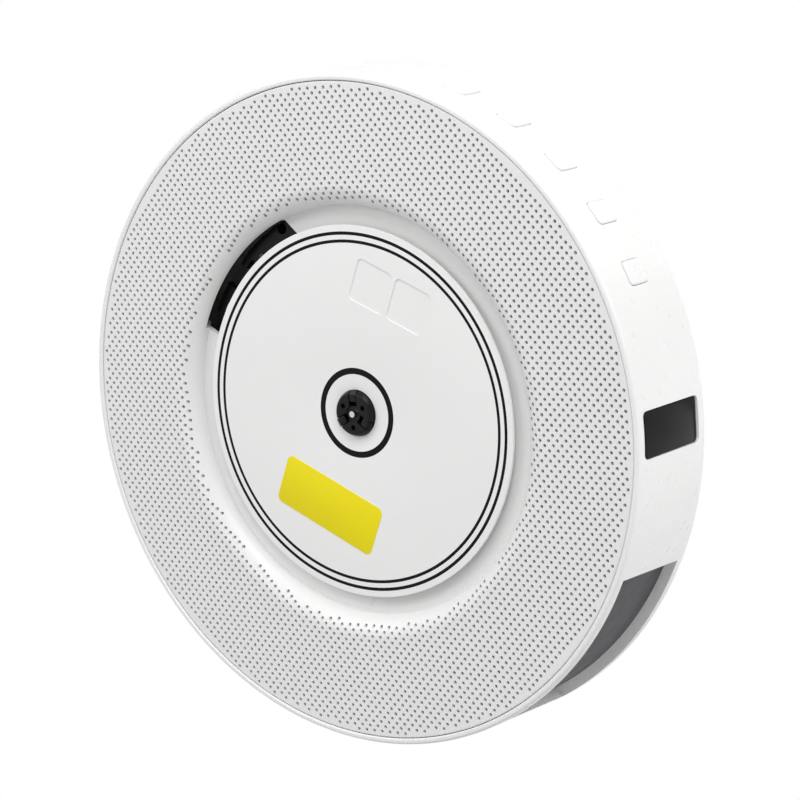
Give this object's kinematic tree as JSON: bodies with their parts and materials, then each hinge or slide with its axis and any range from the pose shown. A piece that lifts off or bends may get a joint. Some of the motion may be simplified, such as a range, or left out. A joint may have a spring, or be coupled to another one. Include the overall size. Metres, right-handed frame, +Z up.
{
  "type": "wall mounted disc player",
  "caption": "Round wall-hung disc player with a perforated speaker ring, a disc well, side buttons and a display.",
  "frame": {"origin": "spindle axis at the wall plane, where the back cover's raised land meets the wall", "axes": "+Z up as hung, +Y into the wall along the spindle axis, +X to the right seen from the front"},
  "size_m": [0.2172, 0.037, 0.2172],
  "materials": {
    "shell_white": "glossy moulded white",
    "grille_white": "satin moulded white",
    "well_white": "smooth moulded white",
    "back_grey": "fine textured grey",
    "black_plastic": "fine textured black",
    "dark_grey": "satin dark grey",
    "smoked_acrylic": "polished smoked acrylic",
    "card_white": "coated white card",
    "sticker_yellow": "matt yellow film",
    "damper_yellow": "soft yellow rubber",
    "black_rubber": "matt black rubber",
    "steel": "bright drawn steel",
    "zinc": "zinc plated steel",
    "black_steel": "black oxide",
    "lens_glass": "coated optical glass",
    "natural_acetal": "natural acetal",
    "brass": "turned brass",
    "board_green": "coated circuit board",
    "part_black": "moulded component",
    "cone_paper": "treated paper",
    "foam_grey": "closed cell foam"
  },
  "bodies": {
    "housing": {"housing": "shell_white", "front_grille": "grille_white", "dust_screen": "black_rubber", "disc_well": "well_white", "back_cover": "back_grey", "wall_pads": "black_rubber", "cover_screws": "zinc", "mechanism_chassis": "black_plastic", "deck_rails": "dark_grey", "dampers": "damper_yellow", "damper_screws": "zinc", "guide_rods": "steel", "spindle_motor": "zinc", "sled_motor": "zinc", "idler_axle": "steel", "speaker_gaskets": "foam_grey", "speaker_frames": "black_steel", "speaker_surrounds": "black_rubber", "speaker_magnets": "zinc", "tact_switches": "part_black", "button_board": "board_green", "button_carrier": "dark_grey", "display_window": "smoked_acrylic", "display_bracket": "dark_grey", "display_module": "part_black", "stand_recess": "dark_grey", "main_board": "board_green", "board_parts": "part_black", "board_screws": "zinc", "dc_inlet": "black_plastic", "audio_jack": "black_plastic"},
    "turntable": {"turntable": "black_plastic", "spindle_shaft": "steel"},
    "card": {"transport_card": "card_white", "card_sticker": "sticker_yellow"},
    "sled": {"pickup_sled": "black_plastic", "sled_rack": "natural_acetal"},
    "lens": {"lens_holder": "black_plastic", "lens_glass": "lens_glass"},
    "idler": {"idler_gear": "natural_acetal"},
    "motor_gear": {"motor_pinion": "brass"},
    "claw_1": {"hub_claw_1": "black_plastic"},
    "claw_2": {"hub_claw_2": "black_plastic"},
    "claw_3": {"hub_claw_3": "black_plastic"},
    "button_1": {"button_cap_1": "shell_white", "switch_plunger_1": "part_black"},
    "button_2": {"button_cap_2": "shell_white", "switch_plunger_2": "part_black"},
    "button_3": {"button_cap_3": "shell_white", "switch_plunger_3": "part_black"},
    "button_4": {"button_cap_4": "shell_white", "switch_plunger_4": "part_black"},
    "button_5": {"button_cap_5": "shell_white", "switch_plunger_5": "part_black"},
    "cone_right": {"speaker_cone_right": "cone_paper"},
    "cone_left": {"speaker_cone_left": "cone_paper"}
  },
  "joints": [
    {"name": "turntable_spin", "type": "hinge", "parent": "housing", "child": "turntable", "pos_m": [0, -0.031, 0], "axis": [0, -1, 0], "continuous": true},
    {"name": "card_lift", "type": "slide", "parent": "turntable", "child": "card", "axis": [0, -1, 0], "range_m": [0, 0.05]},
    {"name": "claw_1_press", "type": "slide", "parent": "turntable", "child": "claw_1", "axis": [-0.766, 0, -0.6428], "range_m": [0, 0.0007], "stiffness_N_per_m": 300, "springref_m": -0.0006},
    {"name": "claw_2_press", "type": "slide", "parent": "turntable", "child": "claw_2", "axis": [0.9397, 0, -0.342], "range_m": [0, 0.0007], "stiffness_N_per_m": 300, "springref_m": -0.0006},
    {"name": "claw_3_press", "type": "slide", "parent": "turntable", "child": "claw_3", "axis": [-0.1736, 0, 0.9848], "range_m": [0, 0.0007], "stiffness_N_per_m": 300, "springref_m": -0.0006},
    {"name": "sled_slide", "type": "slide", "parent": "housing", "child": "sled", "axis": [0, 0, 1], "range_m": [0, 0.034]},
    {"name": "lens_focus", "type": "slide", "parent": "sled", "child": "lens", "axis": [0, -1, 0], "range_m": [-0.0005, 0.0005], "stiffness_N_per_m": 30},
    {"name": "idler_turn", "type": "hinge", "parent": "housing", "child": "idler", "pos_m": [-0.0218, -0.017, 0.016], "axis": [0, -1, 0], "range_deg": [0, 325]},
    {"name": "motor_turn", "type": "hinge", "parent": "housing", "child": "motor_gear", "pos_m": [-0.02971, -0.017, 0.0047], "axis": [0, -1, 0], "range_deg": [-921, 0]},
    {"name": "button_1_press", "type": "slide", "parent": "housing", "child": "button_1", "axis": [-0.9256, 0, 0.3785], "range_m": [0, 0.0006], "stiffness_N_per_m": 1500, "springref_m": -0.0004},
    {"name": "button_2_press", "type": "slide", "parent": "housing", "child": "button_2", "axis": [-0.9804, 0, 0.1971], "range_m": [0, 0.0006], "stiffness_N_per_m": 1500, "springref_m": -0.0004},
    {"name": "button_3_press", "type": "slide", "parent": "housing", "child": "button_3", "axis": [-1, 0, 0.0087], "range_m": [0, 0.0006], "stiffness_N_per_m": 1500, "springref_m": -0.0004},
    {"name": "button_4_press", "type": "slide", "parent": "housing", "child": "button_4", "axis": [-0.9837, 0, -0.18], "range_m": [0, 0.0006], "stiffness_N_per_m": 1500, "springref_m": -0.0004},
    {"name": "button_5_press", "type": "slide", "parent": "housing", "child": "button_5", "axis": [-0.9321, 0, -0.3623], "range_m": [0, 0.0006], "stiffness_N_per_m": 1500, "springref_m": -0.0004},
    {"name": "cone_right_stroke", "type": "slide", "parent": "housing", "child": "cone_right", "axis": [0, -1, 0], "range_m": [-0.0008, 0.0008], "stiffness_N_per_m": 1000},
    {"name": "cone_left_stroke", "type": "slide", "parent": "housing", "child": "cone_left", "axis": [0, -1, 0], "range_m": [-0.0008, 0.0008], "stiffness_N_per_m": 1000}
  ],
  "couplings": [
    {"joint": "idler_turn", "follows": "sled_slide", "rad_per_m": 166.67},
    {"joint": "motor_turn", "follows": "sled_slide", "rad_per_m": -472.22}
  ]
}
